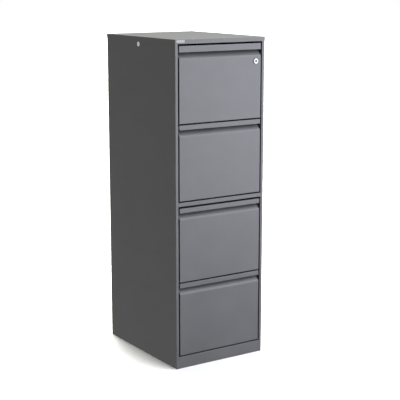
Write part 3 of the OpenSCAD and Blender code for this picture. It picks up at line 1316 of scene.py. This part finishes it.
@dataclass
class Lock:
    """The cam lock in the top drawer and the bar that it lifts."""

    plug_radius: float = 0.0045
    barrel_radius: float = 0.0095
    gap: float = 0.00005
    slot_width: float = 0.0014
    slot_height: float = 0.0062
    slot_depth: float = 0.014
    inner_round: float = 0.0009
    outer_round: float = 0.0018
    groove: Point = (0.0072, 0.0079)
    groove_depth: float = 0.0003
    chamfer: float = 0.0004

    def build(self) -> None:
        """Builds the rim and plug, and dresses the rest."""
        self.rim()
        self.plug()
        dress(Coat.ZINC, "lock_nut", "lock_cam", "cam_screw", "lock_bar", "lock_bar_hooks")

    def centre(self) -> Vector:
        """Finds where the lock's axis meets the drawer's face.

        Returns:
            The point.
        """
        low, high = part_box("lock_housing")
        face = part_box("drawer_1_front")[0].y
        return Vector(((low.x + high.x) / 2, face, (low.z + high.z) / 2))

    def rim(self) -> None:
        """The turned housing with its domed rim and a groove round it."""
        low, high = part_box("lock_housing")
        face = self.centre().y
        proud, deep = face - low.y, high.y - face
        outer, bore = (high.x - low.x) / 2, self.plug_radius + self.gap
        small, large = self.inner_round, self.outer_round
        groove_in, groove_out = self.groove
        slope, sunk = 0.0002, proud - self.groove_depth
        profile = [(bore, -deep), (bore, proud - small)]
        profile += arc((bore + small, proud - small), small, 180, 90, 6)
        profile += [(groove_in, proud), (groove_in + slope, sunk)]
        profile += [(groove_out - slope, sunk), (groove_out, proud)]
        profile += arc((outer - large, proud - large), large, 90, 0, 10)
        profile += [(outer, 0), (self.barrel_radius, 0), (self.barrel_radius, -deep)]
        blank = Blank()
        blank.lathe(profile, self.centre(), TOWARDS_FRONT, 72)
        mount(blank.piece("turned_lock_rim", Coat.CHROME), "drawer_1", Coat.CHROME, "lock_housing")

    def plug(self) -> None:
        """The plug with a chamfered face and a keyway."""
        low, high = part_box("lock_plug")
        centre = self.centre()
        proud, deep = centre.y - low.y, high.y - centre.y
        radius, chamfer = self.plug_radius, self.chamfer
        profile = [(0, -deep), (radius, -deep), (radius, proud - chamfer)]
        profile += [(radius - chamfer, proud), (0, proud)]
        blank = Blank()
        blank.lathe(profile, centre, TOWARDS_FRONT)
        bmesh.ops.recalc_face_normals(blank.mesh, faces=blank.mesh.faces[:])
        key = Blank()
        half = Vector((self.slot_width / 2, 0, self.slot_height / 2))
        key.box(
            centre - half - Vector((0, proud + 0.002, 0)),
            centre + half + Vector((0, self.slot_depth, 0)),
            0.0002,
        )
        bmesh.ops.recalc_face_normals(key.mesh, faces=key.mesh.faces[:])
        mount(blank.piece("keyed_plug", Coat.NICKEL, key), "lock_barrel", Coat.NICKEL, "lock_plug")


@dataclass
class Studio:
    """Floor, backdrop, lights and camera."""

    camera_at: Triple = (-2.406, -3.810, 1.549)
    yaw: float = 33.1
    pitch: float = 11.54
    lens: float = 97.9
    reach: float = 60.0
    soft_box_at: Triple = (1.2, -1.75, 1.65)
    soft_box_aim: Triple = (0.0, -0.27, 0.85)
    soft_box_size: Point = (2.8, 4.0)
    soft_box_watts: float = 182.0
    soft_box_colour: Triple = (0.885, 0.9, 1.0)
    sun_strength: float = 8.2
    sun_width: float = 20.0
    sun_tilt: Point = (-14.0, 8.0)
    sun_colour: Triple = (1.0, 0.99, 0.93)
    glow_below: Triple = (0.8, 0.8, 0.79)
    glow_above: Triple = (0.32, 0.32, 0.32)

    def build(self) -> None:
        """Builds the stage and sets the camera."""
        self.floor()
        self.backdrop()
        self.lights()
        self.world()
        self.camera()
        bpy.context.scene.view_settings.view_transform = "Standard"

    def floor(self) -> None:
        """A wide pale floor that throws no light back."""
        mesh = bmesh.new()
        bmesh.ops.create_grid(mesh, x_segments=2, y_segments=2, size=self.reach / 2)
        made = plain_object("floor", mesh)
        made.data.materials.append(FloorPaint("pale_floor").material())
        made.visible_diffuse = made.visible_glossy = False
        made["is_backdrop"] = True

    def backdrop(self) -> None:
        """A pale dome that only the camera sees."""
        mesh = bmesh.new()
        bmesh.ops.create_uvsphere(mesh, u_segments=48, v_segments=24, radius=self.reach)
        bmesh.ops.reverse_faces(mesh, faces=mesh.faces[:])
        made = plain_object("backdrop", mesh)
        pale = bpy.data.materials.new("pale_backdrop")
        pale.use_nodes = True
        net = Net(pale.node_tree)
        glow = net.out("ShaderNodeEmission", {"Color": (1.0, 1.0, 1.0, 1.0)})
        net.feed(pale.node_tree.nodes["Material Output"], {"Surface": glow})
        made.data.materials.append(pale)
        made.visible_diffuse = made.visible_glossy = False
        made.visible_transmission = made.visible_shadow = False
        made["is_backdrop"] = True

    def world(self) -> None:
        """Even surroundings, brighter below than above."""
        world = bpy.data.worlds.new("studio")
        bpy.context.scene.world = world
        world.use_nodes = True
        net = Net(world.node_tree)
        way = net.out("ShaderNodeTexCoord", output="Generated")
        parts = net.node("ShaderNodeSeparateXYZ", None, {"Vector": way})
        height = net.step(Link(net, parts.outputs["Z"]), -0.6, 0.7)
        colour = net.colours(height, self.glow_below, self.glow_above)
        net.feed(world.node_tree.nodes["Background"], {"Color": colour})

    def lights(self) -> None:
        """A wide soft box at the front right and a soft sun almost overhead."""
        box = bpy.data.lights.new("key", "AREA")
        box.shape = "RECTANGLE"
        box.size, box.size_y = self.soft_box_size
        box.energy, box.color = self.soft_box_watts, self.soft_box_colour
        way = Vector(self.soft_box_aim) - Vector(self.soft_box_at)
        made = linked("key", box)
        made.location = self.soft_box_at
        made.rotation_euler = way.to_track_quat("-Z", "Y").to_euler()
        sun = bpy.data.lights.new("overhead", "SUN")
        sun.energy, sun.color = self.sun_strength, self.sun_colour
        sun.angle = math.radians(self.sun_width)
        made = linked("overhead", sun)
        made.rotation_euler = (*(math.radians(tilt) for tilt in self.sun_tilt), 0)

    def camera(self) -> None:
        """The camera, from the front left at about eye height."""
        lens = bpy.data.cameras.new("camera")
        lens.lens = self.lens
        made = linked("camera", lens)
        made.location = self.camera_at
        made.rotation_euler = (math.radians(90 - self.pitch), 0, math.radians(-self.yaw))
        bpy.context.scene.camera = made


def main() -> None:
    """Builds the studio and the cabinet, sub-assembly by sub-assembly."""
    logging.basicConfig(level=logging.INFO, format="%(name)s: %(message)s")
    Studio().build()
    Shell().build()
    for number in DRAWERS:
        Drawer(number, strip=TOP_STRIP if number == 1 else STRIP).build()
        Slides(number).build()
    Lock().build()


if __name__ == "__main__":
    main()
    [[list(corner) for corner in box] for box in (CAD_BOX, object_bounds())]
